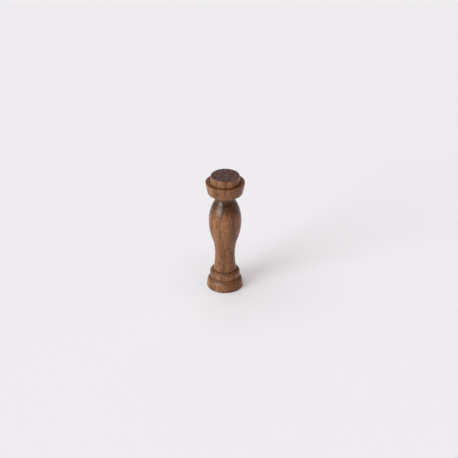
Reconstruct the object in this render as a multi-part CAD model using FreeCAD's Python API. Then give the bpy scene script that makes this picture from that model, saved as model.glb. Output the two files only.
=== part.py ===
import FreeCAD, Part
import math
import os

# A turned walnut playing piece, 25 mm tall: foot, collar, vase-shaped stem, capital and cap.
# Millimetres. +Z is up along the turning axis, and the origin is the centre of the foot's underside.
# Every piece is a body of revolution. The stem's lower tenon runs through the collar into the foot,
# and the capital's bore takes the stem's upper tenon from below and the cap's spigot from above.

# Heights of the joint faces
COLLAR_Z = 2.32
STEM_Z = 3.88
CAPITAL_Z = 20.7
CAP_Z = 23.5
TOP_Z = 25.0

# Foot: slightly tapered side, then a rounded shoulder up to the collar
FOOT_R = 3.63
FOOT_SHOULDER_R = 3.48
FOOT_SHOULDER_Z = 1.25
FOOT_TOP_R = 2.89
FOOT_SHOULDER_BULGE = 0.20

# Collar: a short ring, a little barrelled, whose rounded shoulder rises to the stem's flat seat
COLLAR_BOTTOM_R = 2.99
COLLAR_TOP_R = 2.97
COLLAR_SHOULDER_Z = 3.40
COLLAR_SEAT_R = 2.42
COLLAR_BARREL_BULGE = 0.06
COLLAR_SHOULDER_BULGE = 0.22

# Stem: a vase of arcs that are upright at the waist, the belly and the neck. Each hollow arc turns
# into a swelling one at a share of the way between those places.
STEM_FOOT_R = 2.32
WAIST_R = 2.00
WAIST_Z = 7.4
WAIST_TO_BELLY_TURN = 0.5
BELLY_R = 3.27
BELLY_Z = 14.95
BELLY_TO_NECK_TURN = 0.76
NECK_R = 1.86
NECK_Z = 20.56

# Capital: a cup that widens to its rim, with a ledge sloping in to the cap's seat
CAPITAL_UNDER_R = 1.97
CAPITAL_EDGE_R = 3.20
CAPITAL_EDGE_Z = 21.12
CAPITAL_SIDE_R = 3.56
CAPITAL_SIDE_Z = 21.5
CAPITAL_SIDE_BULGE = 0.04
RIM_R = 3.89
RIM_Z = 23.44
RIM_CREST_R = 3.77
RIM_CREST_Z = 23.58
SEAT_R = 3.10

# Cap: a disc whose side leans in a little towards the flat top
CAP_FOOT_R = 3.04
CAP_TOP_R = 2.85

# Joinery
LOWER_TENON_R = 1.0
UPPER_TENON_R = 0.9
GLUE_GAP = 0.02
END_GAP = 0.1
TENON_CHAMFER = 0.12
SOCKET_FLOOR_Z = 0.7
UPPER_TENON_END_Z = 22.3
SPIGOT_END_Z = 22.5

# Rounded or broken outer corners
FOOT_EDGE = 0.10
JOINT_EDGE = 0.06
CAP_EDGE = 0.13
QUARTER_TURN_BULGE = math.tan(math.radians(90.0 / 4.0))

FULL_TURN = 360.0
CENTRE = FreeCAD.Vector(0, 0, 0)
UP = FreeCAD.Vector(0, 0, 1)


def at(radius, height):
    """A point of the half section, which lies in the XZ plane."""
    return FreeCAD.Vector(radius, 0, height)


def line(start, end):
    return Part.LineSegment(at(*start), at(*end)).toShape()


def arc(start, end, bulge):
    """An arc that stands out to the right of start-to-end, by bulge times half its chord."""
    chord_r = end[0] - start[0]
    chord_z = end[1] - start[1]
    middle_r = (start[0] + end[0]) / 2.0 + bulge * chord_z / 2.0
    middle_z = (start[1] + end[1]) / 2.0 - bulge * chord_r / 2.0
    return Part.Arc(at(*start), at(middle_r, middle_z), at(*end)).toShape()


def outline(corners):
    """Edges through the corners. A corner with a third value, its bulge, starts an arc."""
    edges = []
    for corner, following in zip(corners, corners[1:]):
        start, end = corner[:2], following[:2]
        if len(corner) == 3:
            edges.append(arc(start, end, corner[2]))
        else:
            edges.append(line(start, end))
    return edges


def upright_bulge(start, end):
    """The bulge of an arc from start up to end that is upright at one of its ends."""
    return math.tan(math.atan2(abs(end[0] - start[0]), end[1] - start[1]) / 2.0)


def part_way(start, end, share):
    return (start[0] + share * (end[0] - start[0]), start[1] + share * (end[1] - start[1]))


def turned(edges):
    """The solid that the closed half section sweeps around the axis."""
    return Part.Face(Part.Wire(edges)).revolve(CENTRE, UP, FULL_TURN)


def foot():
    socket_r = LOWER_TENON_R + GLUE_GAP
    return turned(outline([
        (0, 0),
        (FOOT_R - FOOT_EDGE, 0, QUARTER_TURN_BULGE),
        (FOOT_R, FOOT_EDGE),
        (FOOT_SHOULDER_R, FOOT_SHOULDER_Z, FOOT_SHOULDER_BULGE),
        (FOOT_TOP_R, COLLAR_Z - JOINT_EDGE),
        (FOOT_TOP_R - JOINT_EDGE, COLLAR_Z),
        (socket_r, COLLAR_Z),
        (socket_r, SOCKET_FLOOR_Z),
        (0, SOCKET_FLOOR_Z),
        (0, 0),
    ]))


def collar():
    bore_r = LOWER_TENON_R + GLUE_GAP
    return turned(outline([
        (bore_r, COLLAR_Z),
        (COLLAR_BOTTOM_R - JOINT_EDGE, COLLAR_Z),
        (COLLAR_BOTTOM_R, COLLAR_Z + JOINT_EDGE, COLLAR_BARREL_BULGE),
        (COLLAR_TOP_R, COLLAR_SHOULDER_Z, COLLAR_SHOULDER_BULGE),
        (COLLAR_SEAT_R, STEM_Z),
        (bore_r, STEM_Z),
        (bore_r, COLLAR_Z),
    ]))


def vase():
    """Corners of the stem's visible outline, from the collar up to the neck."""
    start = (STEM_FOOT_R, STEM_Z + JOINT_EDGE)
    waist = (WAIST_R, WAIST_Z)
    belly = (BELLY_R, BELLY_Z)
    neck = (NECK_R, NECK_Z)
    lower_turn = part_way(waist, belly, WAIST_TO_BELLY_TURN)
    upper_turn = part_way(belly, neck, BELLY_TO_NECK_TURN)
    flare = upright_bulge(start, waist)
    rise = upright_bulge(waist, belly)
    fall = upright_bulge(belly, neck)
    return [start + (-flare,), waist + (-rise,), lower_turn + (rise,),
            belly + (fall,), upper_turn + (-fall,), neck]


def stem():
    lower_end_z = SOCKET_FLOOR_Z + END_GAP
    below = [
        (0, lower_end_z),
        (LOWER_TENON_R - TENON_CHAMFER, lower_end_z),
        (LOWER_TENON_R, lower_end_z + TENON_CHAMFER),
        (LOWER_TENON_R, STEM_Z),
        (STEM_FOOT_R - JOINT_EDGE, STEM_Z),
    ]
    above = [
        (NECK_R, CAPITAL_Z),
        (UPPER_TENON_R, CAPITAL_Z),
        (UPPER_TENON_R, UPPER_TENON_END_Z - TENON_CHAMFER),
        (UPPER_TENON_R - TENON_CHAMFER, UPPER_TENON_END_Z),
        (0, UPPER_TENON_END_Z),
        (0, lower_end_z),
    ]
    return turned(outline(below + vase() + above))


def capital():
    bore_r = UPPER_TENON_R + GLUE_GAP
    return turned(outline([
        (bore_r, CAPITAL_Z),
        (CAPITAL_UNDER_R, CAPITAL_Z),
        (CAPITAL_EDGE_R, CAPITAL_EDGE_Z, QUARTER_TURN_BULGE),
        (CAPITAL_SIDE_R, CAPITAL_SIDE_Z, CAPITAL_SIDE_BULGE),
        (RIM_R, RIM_Z, QUARTER_TURN_BULGE),
        (RIM_CREST_R, RIM_CREST_Z),
        (SEAT_R, CAP_Z),
        (bore_r, CAP_Z),
        (bore_r, CAPITAL_Z),
    ]))


def cap():
    return turned(outline([
        (0, SPIGOT_END_Z),
        (UPPER_TENON_R - TENON_CHAMFER, SPIGOT_END_Z),
        (UPPER_TENON_R, SPIGOT_END_Z + TENON_CHAMFER),
        (UPPER_TENON_R, CAP_Z),
        (CAP_FOOT_R - JOINT_EDGE, CAP_Z),
        (CAP_FOOT_R, CAP_Z + JOINT_EDGE),
        (CAP_TOP_R, TOP_Z - CAP_EDGE, QUARTER_TURN_BULGE),
        (CAP_TOP_R - CAP_EDGE, TOP_Z),
        (0, TOP_Z),
        (0, SPIGOT_END_Z),
    ]))


PIECES = {"foot": foot, "collar": collar, "stem": stem, "capital": capital, "cap": cap}

os.makedirs("parts", exist_ok=True)
for name, make in PIECES.items():
    shape = make()
    shape.exportStep("parts/" + name + ".step")
    box = shape.BoundBox
    print(name, "valid", shape.isValid(), "volume %.3f mm3" % shape.Volume,
          "z %.2f to %.2f" % (box.ZMin, box.ZMax), "across %.2f" % box.XLength)
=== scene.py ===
import math
import random

import bmesh
import bpy
import numpy as np
from mathutils import Euler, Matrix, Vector, noise


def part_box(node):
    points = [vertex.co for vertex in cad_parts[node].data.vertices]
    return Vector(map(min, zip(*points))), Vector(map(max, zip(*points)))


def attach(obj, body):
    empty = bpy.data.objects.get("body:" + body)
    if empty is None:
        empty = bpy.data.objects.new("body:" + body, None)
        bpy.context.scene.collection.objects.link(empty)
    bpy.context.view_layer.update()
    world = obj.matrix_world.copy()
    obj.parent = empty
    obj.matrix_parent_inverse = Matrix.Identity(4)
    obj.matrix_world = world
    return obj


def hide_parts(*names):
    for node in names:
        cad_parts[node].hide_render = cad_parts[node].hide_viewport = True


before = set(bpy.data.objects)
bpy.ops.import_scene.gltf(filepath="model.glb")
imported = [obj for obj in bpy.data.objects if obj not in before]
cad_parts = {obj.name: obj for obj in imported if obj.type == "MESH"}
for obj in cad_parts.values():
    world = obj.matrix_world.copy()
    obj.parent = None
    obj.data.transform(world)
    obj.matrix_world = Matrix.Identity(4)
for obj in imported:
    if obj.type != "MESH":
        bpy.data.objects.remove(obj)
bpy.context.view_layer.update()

# A turned walnut playing piece. Outlines are in millimetres, in the half plane (radius, height).
MM = 0.001


def span(node):
    """A CAD node's widest radius, lowest height and highest height, in millimetres."""
    low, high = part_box(node)
    return high.x / MM, low.z / MM, high.z / MM


# ---- Outline sizes: the joint heights and widest radii are the frame's own ----

FOOT_R, FOOT_Z, COLLAR_Z = span("foot")
COLLAR_R, _, STEM_Z = span("collar")
BELLY_R, TENON_Z, TENON_TOP_Z = span("stem")
RIM_R, CAPITAL_Z, RIM_CREST_Z = span("capital")
CAP_FOOT_R, SPIGOT_Z, TOP_Z = span("cap")
PIECE_HEIGHT = TOP_Z - FOOT_Z

FOOT_TAPER = 0.15
FOOT_SHOULDER_R = FOOT_R - FOOT_TAPER
FOOT_SHOULDER_Z = 1.25
FOOT_TOP_R = 2.89
FOOT_SHOULDER_BULGE = 0.20
FOOT_EDGE = 0.10
FOOT_UNDERSIDE_SHOWN = 5 * FOOT_EDGE

COLLAR_BARREL_BULGE = 0.06
COLLAR_TAPER = 0.02
COLLAR_SHOULDER_DROP = 0.48
COLLAR_SHOULDER_BULGE = 0.22
COLLAR_SEAT_R = 2.42

STEM_FOOT_R = 2.32
WAIST_R = 2.00
WAIST_Z = 7.4
WAIST_TO_BELLY_TURN = 0.5
BELLY_Z = 14.95
BELLY_TO_NECK_TURN = 0.76
NECK_R = 1.86
NECK_Z = 20.56

CAPITAL_UNDER_R = 1.97
CAPITAL_EDGE_R = 3.20
CAPITAL_EDGE_Z = 21.12
CAPITAL_SIDE_R = 3.56
CAPITAL_SIDE_Z = 21.5
CAPITAL_SIDE_BULGE = 0.04
RIM_LIP = 0.12
RIM_CREST_RISE = 0.14
LEDGE_DIP = 0.08
SEAT_R = 3.10

CAP_TOP_R = 2.85
CAP_EDGE = 0.13

LOWER_TENON_R = 1.0
UPPER_TENON_R = 0.9
GLUE_GAP = 0.02
SOCKET_FLOOR_Z = 0.7
JOINT_EDGE = 0.06
JOINT_SHOWN = 3 * JOINT_EDGE
QUARTER_TURN_BULGE = math.tan(math.radians(90.0 / 4.0))

# ---- Mesh fineness ----

SKIN_STEP = 0.065
STEM_STEP = 0.080
HIDDEN_STEP = 0.5
ARC_PARTS = 5
AROUND = 432
AXIS_FADE_STEPS = 3
ON_AXIS = 1e-6
WELD_RADIUS_M = 1e-7
WELD_GAP_M = 1e-6
FLAT_GAP_M = 1e-9
KNOCK_EDGE_SHARE = 0.6

# ---- Wood and tool marks left in the surface ----

VESSEL_PITCH = 0.31
VESSEL_LENGTH = 9.0
VESSEL_SMALLEST = 0.12
VESSEL_LARGEST = 0.31
VESSEL_DEPTH = 0.032
VESSEL_SIZE_SCALE = 7.3
VESSEL_WALL_POWER = 0.6
GRAIN_SEED = 7
GRAIN_DRIFT = 0.22
GRAIN_DRIFT_SCALE = 0.16
TOOL_PITCH = 0.26
TOOL_DEPTH = 0.0022
TOOL_PATCH_SCALE = 0.6
SANDED_WAVE = 0.010
SANDED_WAVE_SCALE = 0.55
SANDED_WAVE_FRACTAL = (1.0, 2.0, 3)
DENT_SEED = 11
DENT_DEPTH = 0.07
DENT_WIDTH = 0.20
DENT_WIDTH_RANGE = (0.5, 1.3)
DENT_DEPTH_RANGE = (0.4, 1.0)
EDGE_REACH = 0.16
SEAM_REACH = 0.35
# Marks at the middle of the top face: x, y, width, depth. A negative depth stands proud.
PARTING_NUB = (0.12, 0.05, 0.20, -0.035)
PARTING_TEAR = (-0.10, -0.05, 0.42, 0.022)
# Shade painted on the stem under the capital, growing from the first height up to the second.
UNDER_CAPITAL_SHADE_FROM_Z = 15.6
UNDER_CAPITAL_SHADE_FULL_Z = 19.6


def part_way(start, end, share):
    return (start[0] + share * (end[0] - start[0]), start[1] + share * (end[1] - start[1]))


def upright_bulge(start, end):
    """The bulge of an arc from start up to end that is upright at one of its ends."""
    return math.tan(math.atan2(abs(end[0] - start[0]), end[1] - start[1]) / 2.0)


# ---- Outlines. A corner with a third value starts an arc of that bulge ----

def foot_outline():
    socket_r = LOWER_TENON_R + GLUE_GAP
    skin = [
        (FOOT_R - FOOT_UNDERSIDE_SHOWN, FOOT_Z),
        (FOOT_R - FOOT_EDGE, FOOT_Z, QUARTER_TURN_BULGE),
        (FOOT_R, FOOT_Z + FOOT_EDGE),
        (FOOT_SHOULDER_R, FOOT_SHOULDER_Z, FOOT_SHOULDER_BULGE),
        (FOOT_TOP_R, COLLAR_Z - JOINT_EDGE),
        (FOOT_TOP_R - JOINT_EDGE, COLLAR_Z),
        (FOOT_TOP_R - JOINT_SHOWN, COLLAR_Z),
    ]
    inside = [(socket_r, COLLAR_Z), (socket_r, SOCKET_FLOOR_Z), (0, SOCKET_FLOOR_Z)]
    return [(0, FOOT_Z)], skin, inside


def collar_outline():
    bore_r = LOWER_TENON_R + GLUE_GAP
    bottom_r = COLLAR_R - COLLAR_TAPER
    top_r = bottom_r - COLLAR_TAPER
    skin = [
        (bottom_r - JOINT_SHOWN, COLLAR_Z),
        (bottom_r - JOINT_EDGE, COLLAR_Z),
        (bottom_r, COLLAR_Z + JOINT_EDGE, COLLAR_BARREL_BULGE),
        (top_r, STEM_Z - COLLAR_SHOULDER_DROP, COLLAR_SHOULDER_BULGE),
        (COLLAR_SEAT_R, STEM_Z),
        (STEM_FOOT_R - JOINT_SHOWN, STEM_Z),
    ]
    return [(bore_r, COLLAR_Z)], skin, [(bore_r, STEM_Z), (bore_r, COLLAR_Z)]


def stem_outline():
    start = (STEM_FOOT_R, STEM_Z + JOINT_EDGE)
    waist = (WAIST_R, WAIST_Z)
    belly = (BELLY_R, BELLY_Z)
    neck = (NECK_R, NECK_Z)
    flare = upright_bulge(start, waist)
    rise = upright_bulge(waist, belly)
    fall = upright_bulge(belly, neck)
    skin = [
        (STEM_FOOT_R - JOINT_SHOWN, STEM_Z),
        (STEM_FOOT_R - JOINT_EDGE, STEM_Z),
        start + (-flare,),
        waist + (-rise,),
        part_way(waist, belly, WAIST_TO_BELLY_TURN) + (rise,),
        belly + (fall,),
        part_way(belly, neck, BELLY_TO_NECK_TURN) + (-fall,),
        neck,
        (NECK_R, CAPITAL_Z),
        (NECK_R - JOINT_EDGE, CAPITAL_Z),
    ]
    below = [(0, TENON_Z), (LOWER_TENON_R, TENON_Z), (LOWER_TENON_R, STEM_Z)]
    above = [(UPPER_TENON_R, CAPITAL_Z), (UPPER_TENON_R, TENON_TOP_Z), (0, TENON_TOP_Z)]
    return below, skin, above


def capital_outline():
    bore_r = UPPER_TENON_R + GLUE_GAP
    seat_z = RIM_CREST_Z - LEDGE_DIP
    skin = [
        (NECK_R - JOINT_EDGE, CAPITAL_Z),
        (CAPITAL_UNDER_R, CAPITAL_Z),
        (CAPITAL_EDGE_R, CAPITAL_EDGE_Z, QUARTER_TURN_BULGE),
        (CAPITAL_SIDE_R, CAPITAL_SIDE_Z, CAPITAL_SIDE_BULGE),
        (RIM_R, RIM_CREST_Z - RIM_CREST_RISE, QUARTER_TURN_BULGE),
        (RIM_R - RIM_LIP, RIM_CREST_Z),
        (SEAT_R, seat_z),
        (CAP_FOOT_R - JOINT_SHOWN, seat_z),
    ]
    return [(bore_r, CAPITAL_Z)], skin, [(bore_r, seat_z), (bore_r, CAPITAL_Z)]


def cap_outline():
    seat_z = RIM_CREST_Z - LEDGE_DIP
    skin = [
        (CAP_FOOT_R - JOINT_SHOWN, seat_z),
        (CAP_FOOT_R - JOINT_EDGE, seat_z),
        (CAP_FOOT_R, seat_z + JOINT_EDGE),
        (CAP_TOP_R, TOP_Z - CAP_EDGE, QUARTER_TURN_BULGE),
        (CAP_TOP_R - CAP_EDGE, TOP_Z),
        (0, TOP_Z),
    ]
    return [(0, SPIGOT_Z), (UPPER_TENON_R, SPIGOT_Z), (UPPER_TENON_R, seat_z)], skin, []


# ---- From an outline to a mesh ----

def traced(corners, step):
    """Points along the corners' lines and arcs as complex numbers, radius + height i."""
    points = []
    for corner, following in zip(corners, corners[1:]):
        start, end = complex(*corner[:2]), complex(*following[:2])
        chord = end - start
        parts = max(1, math.ceil(abs(chord) / step))
        if len(corner) == 3:
            bulge = corner[2]
            parts = max(parts, ARC_PARTS)
            centre = (start + end) / 2 + 1j * chord * (1 - bulge ** 2) / (4 * bulge)
            sweep = 4 * math.atan(bulge)
            shares = np.arange(parts) / parts
            points += list(centre + (start - centre) * np.exp(1j * sweep * shares))
        else:
            points += [start + chord * share / parts for share in range(parts)]
    return points + [complex(*corners[-1][:2])]


def section(below, skin, above, step):
    """The whole traced outline, and for each point how far the outer skin's detail reaches it."""
    hidden_below = traced(below + skin[:1], HIDDEN_STEP)[:-1]
    shown = traced(skin, step)
    hidden_above = traced(skin[-1:] + above, HIDDEN_STEP)[1:] if above else []
    weights = [0.0] * len(hidden_below) + [1.0] * len(shown) + [0.0] * len(hidden_above)
    return np.array(hidden_below + shown + hidden_above), np.array(weights)


def outward(points, closed):
    """The unit normal to the right of the path at each point."""
    if closed:
        along = np.roll(points, -1) - np.roll(points, 1)
    else:
        along = np.gradient(points)
    return -1j * along / np.maximum(np.abs(along), 1e-9)


def edge_share(points, normals):
    """How much of a convex corner there is within reach of each point, from 0 to 1."""
    turn = np.angle(np.roll(normals, -1) / normals)
    turn[-1] = 0.0
    gaps = np.abs(points[:, None] - points[None, :])
    near = np.exp(-(gaps / EDGE_REACH) ** 2)
    return np.clip((near * np.maximum(turn, 0.0)[None, :]).sum(axis=1), 0.0, 1.0)


def seam_share(points, seams):
    """How near each point is to one of the glued joint lines, from 0 to 1."""
    share = np.zeros(len(points))
    for seam in seams:
        share = np.maximum(share, np.exp(-np.abs(points - complex(*seam)) / SEAM_REACH))
    return share


def under_capital_shade_share(points):
    """How much shade is painted on the stem under the capital, from 0 to 1, growing towards the capital.
    """
    share = np.clip((points.imag - UNDER_CAPITAL_SHADE_FROM_Z) / (UNDER_CAPITAL_SHADE_FULL_Z - UNDER_CAPITAL_SHADE_FROM_Z), 0.0, 1.0)
    return np.where(points.imag < CAPITAL_Z, share, 0.0)


def vessel_at(spot):
    """How deep a spot, in millimetres, lies in one of the wood's long open vessels, from 0 to 1."""
    drift = noise.noise_vector(spot * GRAIN_DRIFT_SCALE) * GRAIN_DRIFT
    cell = Vector(((spot.x + drift.x) / VESSEL_PITCH,
                   (spot.y + drift.y) / VESSEL_PITCH,
                   spot.z / VESSEL_LENGTH))
    distances, centres = noise.voronoi(cell)
    chance = 0.5 + 0.5 * noise.noise(centres[0] * VESSEL_SIZE_SCALE)
    size = VESSEL_SMALLEST + (VESSEL_LARGEST - VESSEL_SMALLEST) * chance
    return max(0.0, 1.0 - distances[0] / size) ** VESSEL_WALL_POWER


def dents(points, count, seed):
    """Places for small knocks: (x, y, z, width, depth), on the convex edges."""
    generator = random.Random(seed)
    found = []
    for _ in range(count):
        point = generator.choice(points)
        angle = generator.uniform(0, 2 * math.pi)
        width = DENT_WIDTH * generator.uniform(*DENT_WIDTH_RANGE)
        depth = DENT_DEPTH * generator.uniform(*DENT_DEPTH_RANGE)
        found.append((point.real * math.cos(angle), point.real * math.sin(angle), point.imag,
                      width, depth))
    return found


def relief(spots, rings, angles, weights, knocks, stock):
    """Outward shift of each skin vertex, in millimetres, and its vessel depth from 0 to 1."""
    shift = np.zeros(len(spots))
    vessels = np.zeros(len(spots))
    shown = np.nonzero(weights > 0)[0]
    for index in shown:
        spot = Vector(spots[index])
        in_stock = spot + stock
        vessels[index] = vessel_at(in_stock)
        wave = noise.fractal(in_stock * SANDED_WAVE_SCALE, *SANDED_WAVE_FRACTAL)
        tool = math.sin(2 * math.pi * rings[index] / TOOL_PITCH - angles[index])
        tool *= max(0.0, 0.5 + noise.noise(in_stock * TOOL_PATCH_SCALE))
        shift[index] = SANDED_WAVE * wave + TOOL_DEPTH * tool - VESSEL_DEPTH * vessels[index]
    for x, y, z, width, depth in knocks:
        away = ((spots - np.array((x, y, z))) ** 2).sum(axis=1) / width ** 2
        shift -= depth * np.exp(-away) * (weights > 0)
    return shift, vessels


def turned_mesh(name, outline, step, seams, dent_count, stock):
    """A mesh swept round the axis, with the wood's and the tool's marks in its skin."""
    points, weights = section(*outline, step)
    closed = points[0].real > ON_AXIS
    if closed:
        points, weights = points[:-1], weights[:-1]
    normals = outward(points, closed)
    edge = edge_share(points, normals) * weights
    seam = seam_share(points, seams) * weights
    along = np.concatenate([[0.0], np.cumsum(np.abs(np.diff(points)))])
    if not closed:
        normals[0] = complex(0, normals[0].imag)
        normals[-1] = complex(0, normals[-1].imag)

    count = len(points)
    turn = np.arange(AROUND) * 2 * math.pi / AROUND
    radius = np.repeat(points.real, AROUND)
    height = np.repeat(points.imag, AROUND)
    angles = np.tile(turn, count)
    spots = np.stack([radius * np.cos(angles), radius * np.sin(angles), height], axis=1)
    edge_points = list(points[edge > KNOCK_EDGE_SHARE])
    knocks = dents(edge_points, dent_count, DENT_SEED + len(name)) if edge_points else []
    if points[-1] == complex(0, TOP_Z):
        knocks += [(x, y, TOP_Z, width, depth) for x, y, width, depth in (PARTING_NUB, PARTING_TEAR)]
    shift, vessels = relief(spots, np.repeat(along, AROUND), angles,
                            np.repeat(weights, AROUND), knocks, stock)
    fade = np.clip(radius / (AXIS_FADE_STEPS * step), 0.0, 1.0)
    out_r = np.repeat(normals.real, AROUND) * shift * fade
    out_z = np.repeat(normals.imag, AROUND) * shift
    spots[:, 0] += out_r * np.cos(angles)
    spots[:, 1] += out_r * np.sin(angles)
    spots[:, 2] += out_z

    faces = ring_faces(count, closed)
    mesh = bpy.data.meshes.new(name)
    mesh.from_pydata((spots * MM).tolist(), [], faces)
    # Share of painted shade under the capital, kept in the mesh for the material.
    under_capital_shade = under_capital_shade_share(points) * weights
    for label, values in (("vessel", vessels), ("edge", np.repeat(edge, AROUND)),
                          ("seam", np.repeat(seam, AROUND)), ("under_capital_shade", np.repeat(under_capital_shade, AROUND))):
        layer = mesh.attributes.new(label, "FLOAT", "POINT")
        layer.data.foreach_set("value", values.astype(np.float32))
    return mesh


def ring_faces(count, closed):
    """Quads between neighbouring rings of vertices; the last ring meets the first if closed."""
    faces = []
    for ring in range(count if closed else count - 1):
        base = ring * AROUND
        upper = ((ring + 1) % count) * AROUND
        for step in range(AROUND):
            after = (step + 1) % AROUND
            faces.append((base + step, base + after, upper + after, upper + step))
    return faces


def welded(mesh):
    """Merges the vertices that meet on the axis, so that the solid is closed there."""
    work = bmesh.new()
    work.from_mesh(mesh)
    on_axis = [v for v in work.verts if v.co.xy.length < WELD_RADIUS_M]
    bmesh.ops.remove_doubles(work, verts=on_axis, dist=WELD_GAP_M)
    bmesh.ops.dissolve_degenerate(work, dist=FLAT_GAP_M, edges=work.edges)
    for face in work.faces:
        face.smooth = True
    work.to_mesh(mesh)
    work.free()
    return mesh


# ---- Materials ----

# The Mix node has one set of sockets for each data type; these are the colour ones.
MIX_FIRST = 6
MIX_SECOND = 7
MIX_RESULT = 2


class Nodes:
    """Short calls that add and join the nodes of one material or world."""

    def __init__(self, owner):
        owner.use_nodes = True
        self.tree = owner.node_tree
        self.tree.nodes.clear()

    def add(self, kind, inputs=None, **settings):
        node = self.tree.nodes.new(kind)
        for key, value in settings.items():
            setattr(node, key, value)
        for key, value in (inputs or {}).items():
            self.give(node.inputs[key], value)
        return node

    def give(self, socket, value):
        if isinstance(value, bpy.types.NodeSocket):
            self.tree.links.new(value, socket)
        else:
            socket.default_value = value

    def math(self, operation, first, second=0.0, third=0.0, clamp=False):
        node = self.add("ShaderNodeMath", {0: first, 1: second, 2: third},
                        operation=operation, use_clamp=clamp)
        return node.outputs[0]

    def scaled(self, vector, factors):
        """The vector times the factors, one for each axis."""
        node = self.add("ShaderNodeVectorMath", {0: vector, 1: factors}, operation="MULTIPLY")
        return node.outputs[0]

    def added(self, vector, other):
        node = self.add("ShaderNodeVectorMath", {0: vector, 1: other}, operation="ADD")
        return node.outputs[0]

    def noise(self, vector, pattern, colour=False):
        """Noise of a pattern: its scales along X, Y and Z per unit of the vector, detail, roughness."""
        scales, detail, roughness = pattern
        node = self.add("ShaderNodeTexNoise", {"Vector": self.scaled(vector, scales), "Scale": 1.0,
                                              "Detail": detail, "Roughness": roughness})
        return node.outputs["Color" if colour else "Fac"]

    def window(self, value, low, high):
        """Smoothly 0 below low and 1 above high."""
        node = self.add("ShaderNodeMapRange", {"Value": value, "From Min": low, "From Max": high},
                        interpolation_type="SMOOTHSTEP")
        return node.outputs[0]

    def blend(self, factor, first, second, kind="MIX"):
        node = self.add("ShaderNodeMix", {"Factor": factor}, data_type="RGBA", blend_type=kind)
        self.give(node.inputs[MIX_FIRST], first)
        self.give(node.inputs[MIX_SECOND], second)
        return node.outputs[MIX_RESULT]

    def attribute(self, name):
        return self.add("ShaderNodeAttribute", attribute_name=name).outputs["Fac"]


# ---- Walnut: colours ----

WOOD_LIGHT = (0.358, 0.160, 0.062, 1)
WOOD_MIDDLE = (0.226, 0.086, 0.028, 1)
WOOD_DARK = (0.070, 0.023, 0.007, 1)
HUE_TINT = (1.06, 0.97, 0.92, 1)
# Painted shade on the stem under the capital.
UNDER_CAPITAL_SHADE_COLOUR = (0.042, 0.013, 0.004, 1)
VESSEL_COLOUR = (0.036, 0.013, 0.006, 1)
# Dark glue line in the joints, with painted shade in the crevice around them.
JOINT_LINE_AND_SHADE_COLOUR = (0.030, 0.012, 0.006, 1)
WORN_COLOUR = (0.430, 0.205, 0.095, 1)
FACE_END = (0.022, 0.009, 0.009, 1)
FACE_END_RAY = (0.260, 0.112, 0.078, 1)
LEDGE_END = (0.115, 0.041, 0.012, 1)
LEDGE_END_RAY = (0.275, 0.110, 0.038, 1)

# ---- Walnut: patterns, as (scales along X, Y and Z per millimetre, detail, roughness) ----

WANDER = ((0.22, 0.22, 0.07), 2.0, 0.55)
FIGURE = ((0.45, 0.45, 0.05), 2.0, 0.55)
STREAKS = ((3.6, 3.6, 0.20), 4.0, 0.68)
FIBRES = ((14.0, 14.0, 0.55), 2.0, 0.6)
FLECKS = ((5.0, 5.0, 2.0), 2.0, 0.75)
HUE = ((1.1, 1.1, 0.25), 3.0, 0.55)
RAYS = ((1.4, 4.6, 0.3), 3.0, 0.75)
MOTTLE = ((1.3, 1.3, 1.3), 4.0, 0.7)
PORE_PATCHES = ((0.9, 0.9, 0.12), 2.0, 0.55)
RUB = ((2.4, 2.4, 2.4), 4.0, 0.7)
STROKES = ((1.0, 1.0, 1.0), 3.0, 0.6)
FINE_PORE_SCALE = (5.2, 5.2, 0.42)

# ---- Walnut: how strongly each pattern shows. A window is (0 below, 1 above) ----

PER_MM = 1.0 / MM
WANDER_REACH = (1.6, 1.6, 0.0)
PITH = (-13.0, 9.0, 0.0)
RING_WIDTH = 1.9
RING_RISE_POWER = 2.2
RING_DROP_WINDOW = (0.90, 1.0)
FIGURE_GAIN = 0.70
STREAK_GAIN = 1.05
FIBRE_GAIN = 0.70
FLECK_GAIN = 1.05
RING_GAIN = -0.26
TONE_MIDDLE = 0.56
TONE_DARK_AT = 0.15
TONE_MIDDLE_AT = 0.5
TONE_LIGHT_AT = 0.85
HUE_WINDOW = (0.40, 0.62)
RAY_WINDOW = (0.40, 0.66)
MOTTLE_WINDOW = (0.32, 0.58)
END_RING_SHARE = 0.6
FINE_PORE_WINDOW = (0.05, 0.24)
FINE_PORE_SHARE = 0.70
PORE_PATCH_WINDOW = (0.36, 0.60)
GROOVE_WINDOW = (0.04, 0.50)
PORE_COLOUR_SHARE = 0.70
# Downward slopes get less end-grain darkening than upward ones: painted light on top of the real end
# grain.
DOWNWARD_SHARE = -0.55
SLANT_WINDOW = (0.14, 0.56)
SLANT_SHARE = 0.78
FACE_WINDOW = (0.50, 0.95)
FACE_SHARE = 0.22

# The painted shade under the capital is patchy with the rub noise.
UNDER_CAPITAL_SHADE_RUB_GAIN = 0.5
UNDER_CAPITAL_SHADE_BASE = 0.35
WORN_WINDOW = (0.42, 0.72)
WORN_SHARE = 0.22
# Painted shade in the crevice around each joint line, patchy with the rub noise.
CREVICE_SHADE_WINDOW = (0.25, 0.65)
CREVICE_SHADE_SHARE = 0.35
# A thin dark glue line right in each joint.
SEAM_LINE_POWER = 7.0
SEAM_LINE_SHARE = 0.5

TOOL_MARKS = 6.0 * PER_MM
TOOL_MARK_DRIFT = 0.5 * PER_MM
# Colour change along the tool rings: the rings' own tone with a painted glint, strongest on flat faces.
TOOL_RING_GLINT_GAIN = 1.1
TOOL_RING_GLINT_FACE = 0.8
TOOL_RING_GLINT_SIDE = 0.2

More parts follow.
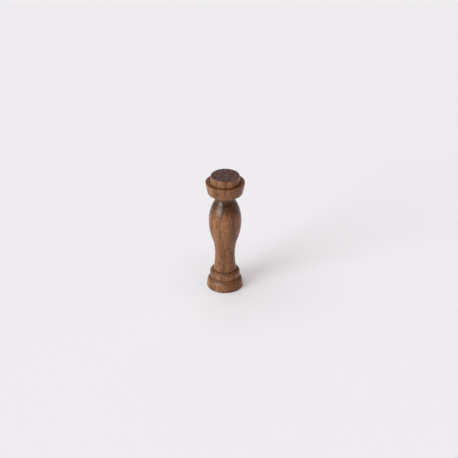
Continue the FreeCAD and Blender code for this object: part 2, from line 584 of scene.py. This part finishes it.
ROUGH_BASE = 0.21
ROUGH_RUB = 0.18
ROUGH_UNDER_CAPITAL_SHADE = -0.30
ROUGH_TOOL = 0.14
ROUGH_PORES = 0.25
ROUGH_END = 0.14
BUMP_PORES = -1.0
BUMP_FIBRES = 0.40
BUMP_FLECKS_FACE = 3.5
BUMP_FLECKS_SIDE = 0.7
BUMP_TOOL_FACE = 0.5
BUMP_TOOL_SIDE = 0.2
BUMP_STRENGTH = 0.70
BUMP_DEPTH = 0.016 * MM
LACQUER_IOR = 1.5
LACQUER_SPECULAR = 0.37


def tool_marks(n, place):
    """Fine rings left by the tool and the sandpaper: round the sides, and concentric on faces."""
    split = n.add("ShaderNodeSeparateXYZ", {0: place})
    flat = n.add("ShaderNodeCombineXYZ", {"X": split.outputs["X"], "Y": split.outputs["Y"]})
    radius = n.add("ShaderNodeVectorMath", {0: flat.outputs[0]}, operation="LENGTH")
    rings = n.add("ShaderNodeCombineXYZ", {"X": radius.outputs["Value"],
                                           "Y": split.outputs["Z"]}).outputs[0]
    strokes = n.added(n.scaled(rings, (TOOL_MARKS, TOOL_MARKS, 0.0)),
                      n.scaled(place, (TOOL_MARK_DRIFT, TOOL_MARK_DRIFT, 0.0)))
    return n.noise(strokes, STROKES)


def wood_spot(n, place, stock, twist):
    """Place in the stock, in millimetres, with the slow wander of the fibres added."""
    mapped = n.add("ShaderNodeMapping", {"Vector": place, "Location": stock,
                                         "Rotation": (0.0, 0.0, twist),
                                         "Scale": (PER_MM, PER_MM, PER_MM)}).outputs[0]
    wander = n.noise(mapped, WANDER, colour=True)
    about_zero = n.added(wander, (-0.5, -0.5, -0.5))
    return n.added(mapped, n.scaled(about_zero, WANDER_REACH))


def ring_tone(n, spot):
    """0 to 1 across each growth ring, rising slowly and dropping at its boundary."""
    flat = n.scaled(n.added(spot, tuple(-value for value in PITH)), (1.0, 1.0, 0.0))
    away = n.add("ShaderNodeVectorMath", {0: flat}, operation="LENGTH").outputs["Value"]
    phase = n.math("FRACT", n.math("DIVIDE", away, RING_WIDTH))
    rise = n.math("POWER", phase, RING_RISE_POWER)
    drop = n.math("SUBTRACT", 1.0, n.window(phase, *RING_DROP_WINDOW))
    return n.math("MULTIPLY", rise, drop)


def centred(n, value, gain):
    """A 0-to-1 pattern as a signed change about zero, times the gain."""
    return n.math("MULTIPLY_ADD", value, gain, -gain / 2)


def side_to_face(n, across, value, side, face):
    """A pattern times a strength that is side on upright surfaces, and grows by face on flat ones."""
    return n.math("MULTIPLY", value, n.math("MULTIPLY_ADD", across, face, side))


def side_grain(n, spot, rings, fibres, flecks):
    """Colour of wood cut along its fibres: slow figure, growth rings, streaks, fibres and flecks."""
    tone = n.math("ADD", centred(n, n.noise(spot, FIGURE), FIGURE_GAIN),
                  centred(n, n.noise(spot, STREAKS), STREAK_GAIN))
    tone = n.math("ADD", tone, centred(n, fibres, FIBRE_GAIN))
    tone = n.math("ADD", tone, centred(n, flecks, FLECK_GAIN))
    tone = n.math("MULTIPLY_ADD", rings, RING_GAIN, tone)
    ramp = n.add("ShaderNodeValToRGB", {"Fac": n.math("ADD", tone, TONE_MIDDLE)})
    dark, light = ramp.color_ramp.elements
    dark.color, dark.position = WOOD_DARK, TONE_DARK_AT
    light.color, light.position = WOOD_LIGHT, TONE_LIGHT_AT
    ramp.color_ramp.elements.new(TONE_MIDDLE_AT).color = WOOD_MIDDLE
    tinted = n.blend(1.0, ramp.outputs["Color"], HUE_TINT, "MULTIPLY")
    return n.blend(n.window(n.noise(spot, HUE), *HUE_WINDOW), ramp.outputs["Color"], tinted)


def end_grain(n, spot, rings, low, high):
    """Colour of wood cut across its fibres: fine rays between the growth rings."""
    share = n.math("MULTIPLY", n.window(n.noise(spot, RAYS), *RAY_WINDOW),
                   n.window(n.noise(spot, MOTTLE), *MOTTLE_WINDOW))
    colour = n.blend(share, low, high)
    return n.blend(n.math("MULTIPLY", rings, END_RING_SHARE), colour, low)


def pores(n, spot):
    """Open vessels, from 0 to 1: the modelled grooves and finer ones between them."""
    cells = n.add("ShaderNodeTexVoronoi", {"Vector": n.scaled(spot, FINE_PORE_SCALE),
                                           "Scale": 1.0, "Randomness": 1.0})
    fine = n.math("SUBTRACT", 1.0, n.window(cells.outputs["Distance"], *FINE_PORE_WINDOW))
    fine = n.math("MULTIPLY", fine, n.window(n.noise(spot, PORE_PATCHES), *PORE_PATCH_WINDOW))
    grooves = n.window(n.attribute("vessel"), *GROOVE_WINDOW)
    return n.math("MAXIMUM", n.math("MULTIPLY", fine, FINE_PORE_SHARE), grooves)


def end_share(n):
    """How far the surface cuts across the fibres, from 0 on an upright side to 1 on a top face.

    Surfaces that look down count for less, so that the belly's underside stays light: this part is
    painted light, with upward slopes darker than downward ones.
    """
    normal = n.add("ShaderNodeNewGeometry").outputs["Normal"]
    upward = n.add("ShaderNodeSeparateXYZ", {0: normal}).outputs["Z"]
    across = n.math("MAXIMUM", upward, n.math("MULTIPLY", upward, DOWNWARD_SHARE))
    slanted = n.math("MULTIPLY", n.window(across, *SLANT_WINDOW), SLANT_SHARE)
    return n.math("MULTIPLY_ADD", n.window(across, *FACE_WINDOW), FACE_SHARE, slanted)


def aged_and_shaded(n, colour, rub, under_capital_shade):
    """The colour with the painted shade under the capital, the worn edges, and the joint lines darkened
    by a dark glue line and painted crevice shade.
    """
    # Painted shade under the capital.
    colour = n.blend(under_capital_shade, colour, UNDER_CAPITAL_SHADE_COLOUR)
    worn = n.math("MULTIPLY", n.attribute("edge"), n.window(rub, *WORN_WINDOW))
    colour = n.blend(n.math("MULTIPLY", worn, WORN_SHARE), colour, WORN_COLOUR)
    seam = n.attribute("seam")
    # Painted shade in the crevice around each joint, and a dark glue line right in it.
    near = n.math("MULTIPLY", n.window(rub, *CREVICE_SHADE_WINDOW), CREVICE_SHADE_SHARE)
    in_line = n.math("MULTIPLY", n.math("POWER", seam, SEAM_LINE_POWER), SEAM_LINE_SHARE)
    return n.blend(n.math("MULTIPLY_ADD", seam, near, in_line), colour, JOINT_LINE_AND_SHADE_COLOUR)


def roughness(n, rub, under_capital_shade, scratches, open_pores, across):
    """Satin lacquer: glossier in the band under the capital where shade is painted, duller in pores and
    on end grain.
    """
    rough = n.math("MULTIPLY_ADD", rub, ROUGH_RUB, ROUGH_BASE)
    rough = n.math("MULTIPLY_ADD", under_capital_shade, ROUGH_UNDER_CAPITAL_SHADE, rough)
    rough = n.math("ADD", rough, centred(n, scratches, ROUGH_TOOL))
    rough = n.math("MULTIPLY_ADD", open_pores, ROUGH_PORES, rough)
    return n.math("MULTIPLY_ADD", across, ROUGH_END, rough)


def fine_relief(n, fibres, flecks, scratches, open_pores, across):
    """Bump from what is too fine to model: fibres, flecks, tool marks and small pores."""
    height = n.math("MULTIPLY_ADD", open_pores, BUMP_PORES, n.math("MULTIPLY", fibres, BUMP_FIBRES))
    height = n.math("ADD", side_to_face(n, across, flecks, BUMP_FLECKS_SIDE, BUMP_FLECKS_FACE), height)
    height = n.math("ADD", side_to_face(n, across, scratches, BUMP_TOOL_SIDE, BUMP_TOOL_FACE), height)
    bump = n.add("ShaderNodeBump", {"Height": height, "Strength": BUMP_STRENGTH,
                                    "Distance": BUMP_DEPTH})
    return bump.outputs[0]


def walnut(name, stock, twist, end_low, end_high):
    """Open-pored walnut under a thin satin lacquer, solid all through, fibres along Z."""
    material = bpy.data.materials.new(name)
    n = Nodes(material)
    place = n.add("ShaderNodeTexCoord").outputs["Object"]
    spot = wood_spot(n, place, stock, twist)
    rings = ring_tone(n, spot)
    fibres = n.noise(spot, FIBRES)
    flecks = n.noise(spot, FLECKS)
    open_pores = pores(n, spot)
    across = end_share(n)
    rub = n.noise(spot, RUB)
    # Painted shade under the capital, patchy with the rub noise.
    under_capital_shade = n.math("MULTIPLY", n.attribute("under_capital_shade"),
                   n.math("MULTIPLY_ADD", rub, UNDER_CAPITAL_SHADE_RUB_GAIN, UNDER_CAPITAL_SHADE_BASE))
    scratches = tool_marks(n, place)

    colour = n.blend(across, side_grain(n, spot, rings, fibres, flecks),
                     end_grain(n, spot, rings, end_low, end_high))
    colour = n.blend(n.math("MULTIPLY", open_pores, PORE_COLOUR_SHARE), colour, VESSEL_COLOUR)
    colour = aged_and_shaded(n, colour, rub, under_capital_shade)
    # Tool rings lighter and darker in the colour: their own tone with a painted glint, strongest on flat
    # faces.
    tool_ring_tone_and_glint = side_to_face(n, across, centred(n, scratches, TOOL_RING_GLINT_GAIN),
                         TOOL_RING_GLINT_SIDE, TOOL_RING_GLINT_FACE)
    colour = n.scaled(colour, n.math("ADD", tool_ring_tone_and_glint, 1.0))
    shader = n.add("ShaderNodeBsdfPrincipled", {
        "Base Color": colour,
        "Roughness": roughness(n, rub, under_capital_shade, scratches, open_pores, across),
        "Normal": fine_relief(n, fibres, flecks, scratches, open_pores, across),
        "IOR": LACQUER_IOR,
        "Specular IOR Level": LACQUER_SPECULAR,
    })
    n.add("ShaderNodeOutputMaterial", {"Surface": shader.outputs[0]})
    return material


# ---- The pieces ----

SEAMS = [
    (FOOT_R, FOOT_Z),
    (FOOT_TOP_R, COLLAR_Z),
    (STEM_FOOT_R, STEM_Z),
    (NECK_R, CAPITAL_Z),
    (CAP_FOOT_R, RIM_CREST_Z - LEDGE_DIP),
]

PIECES = [
    # node, outline, step along it, knocks, place in the stock (mm), turn in it (radians), end grain
    ("foot", foot_outline, SKIN_STEP, 7, (1.1, -0.6, 3.0), 0.10, (LEDGE_END, LEDGE_END_RAY)),
    ("collar", collar_outline, SKIN_STEP, 4, (0.8, 0.7, 11.0), -0.15, (LEDGE_END, LEDGE_END_RAY)),
    # The stem's slopes take the top face's dark end grain, which also paints shade on its upper bulb
    # under the capital.
    ("stem", stem_outline, STEM_STEP, 0, (0.0, 0.0, 20.0), 0.0, (FACE_END, FACE_END_RAY)),
    ("capital", capital_outline, SKIN_STEP, 7, (-0.7, 0.5, 33.0), 0.25, (LEDGE_END, LEDGE_END_RAY)),
    ("cap", cap_outline, SKIN_STEP, 5, (0.5, 1.2, 45.0), -0.30, (FACE_END, FACE_END_RAY)),
]


def add_piece(node, outline, step, knocks, stock, twist, end_colours):
    mesh = welded(turned_mesh(node + "_turned", outline(), step, SEAMS, knocks, Vector(stock)))
    piece = bpy.data.objects.new(node + "_turned", mesh)
    bpy.context.scene.collection.objects.link(piece)
    mesh.materials.append(walnut("walnut_" + node, stock, twist, *end_colours))
    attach(piece, "root")
    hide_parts(node)
    return piece


# ---- Stage: floor, lights, camera ----

FLOOR_SIDE = 4.0
FLOOR_COLOUR = (0.86, 0.845, 0.87, 1)
BACKDROP = (0.83, 0.815, 0.84, 1)
SKY = (1.0, 0.985, 1.0, 1)
SKY_STRENGTH = 0.05
FLOOR_ROUGHNESS = 0.75

# name, azimuth and elevation of the source, its breadth (all in degrees), strength, colour
LIGHTS = [
    ("window", -51, 11, 37, 2.70, (0.82, 0.94, 1.0)),
    ("overhead", -85, 75, 76, 2.06, (1.0, 0.985, 1.0)),
    ("high_left", -48, 42, 30, 0.35, (1.0, 0.985, 0.96)),
    ("warm_right", 95, 20, 50, 0.44, (1.0, 0.66, 0.38)),
    ("high_right", 37, 62, 14, 0.10, (1.0, 0.985, 0.96)),
    ("back", 180, 32, 46, 0.20, (1.0, 1.0, 1.0)),
]


def add_floor():
    half = FLOOR_SIDE / 2
    mesh = bpy.data.meshes.new("floor")
    corners = [(-half, -half, 0), (half, -half, 0), (half, half, 0), (-half, half, 0)]
    mesh.from_pydata(corners, [], [(0, 1, 2, 3)])
    floor = bpy.data.objects.new("floor", mesh)
    bpy.context.scene.collection.objects.link(floor)
    material = bpy.data.materials.new("pale_floor")
    n = Nodes(material)
    shader = n.add("ShaderNodeBsdfPrincipled", {"Base Color": FLOOR_COLOUR, "Roughness": FLOOR_ROUGHNESS})
    n.add("ShaderNodeOutputMaterial", {"Surface": shader.outputs[0]})
    mesh.materials.append(material)


def soft_light(name, azimuth, elevation, breadth, strength, colour):
    """An even light from one side of the sky. Azimuth 0 is in front of the piece, 90 on its right."""
    light = bpy.data.lights.new(name, "SUN")
    light.angle = math.radians(breadth)
    light.energy = strength
    light.color = colour
    lamp = bpy.data.objects.new(name, light)
    bpy.context.scene.collection.objects.link(lamp)
    around, up = math.radians(azimuth), math.radians(elevation)
    back = Vector((math.sin(around) * math.cos(up), -math.cos(around) * math.cos(up), math.sin(up)))
    lamp.location = back
    lamp.rotation_euler = back.to_track_quat("Z", "Y").to_euler()


def add_backdrop():
    """A faint even sky that lights the piece, and a pale backdrop that only the camera sees."""
    world = bpy.data.worlds.new("studio")
    bpy.context.scene.world = world
    n = Nodes(world)
    seen = n.add("ShaderNodeBackground", {"Color": BACKDROP})
    sky = n.add("ShaderNodeBackground", {"Color": SKY, "Strength": SKY_STRENGTH})
    path = n.add("ShaderNodeLightPath")
    mixed = n.add("ShaderNodeMixShader", {0: path.outputs["Is Camera Ray"], 1: sky.outputs[0],
                                          2: seen.outputs[0]})
    n.add("ShaderNodeOutputWorld", {"Surface": mixed.outputs[0]})


# Degrees, metres, millimetres of focal length, and millimetres for the aim
CAMERA_ELEVATION = 29.8
CAMERA_DISTANCE = 0.330
CAMERA_LENS = 129.9
CAMERA_ROLL = 0.30
AIM_RIGHT = 0.79
AIM_UP = 0.31
SENSOR_WIDTH = 36.0
CLIP_NEAR = 0.01
CLIP_FAR = 20.0


def add_camera():
    camera = bpy.data.cameras.new("camera")
    camera.lens = CAMERA_LENS
    camera.sensor_width = SENSOR_WIDTH
    camera.clip_start = CLIP_NEAR
    camera.clip_end = CLIP_FAR
    eye = bpy.data.objects.new("camera", camera)
    bpy.context.scene.collection.objects.link(eye)
    up = math.radians(CAMERA_ELEVATION)
    back = Vector((0, -math.cos(up), math.sin(up)))
    above = Vector((0, math.sin(up), math.cos(up)))
    middle = Vector((0, 0, PIECE_HEIGHT * MM / 2))
    middle += Vector((AIM_RIGHT * MM, 0, 0)) + above * AIM_UP * MM
    eye.location = middle + back * CAMERA_DISTANCE
    turned = (-back).to_track_quat("-Z", "Y") @ Euler((0, 0, math.radians(CAMERA_ROLL))).to_quaternion()
    eye.rotation_euler = turned.to_euler()
    bpy.context.scene.camera = eye


# Without a seed, noise_vector takes one from the clock, and the vessels move from run to run.
noise.seed_set(GRAIN_SEED)
for entry in PIECES:
    add_piece(*entry)
add_floor()
for entry in LIGHTS:
    soft_light(*entry)
add_backdrop()
add_camera()
bpy.context.scene.view_settings.view_transform = "Standard"
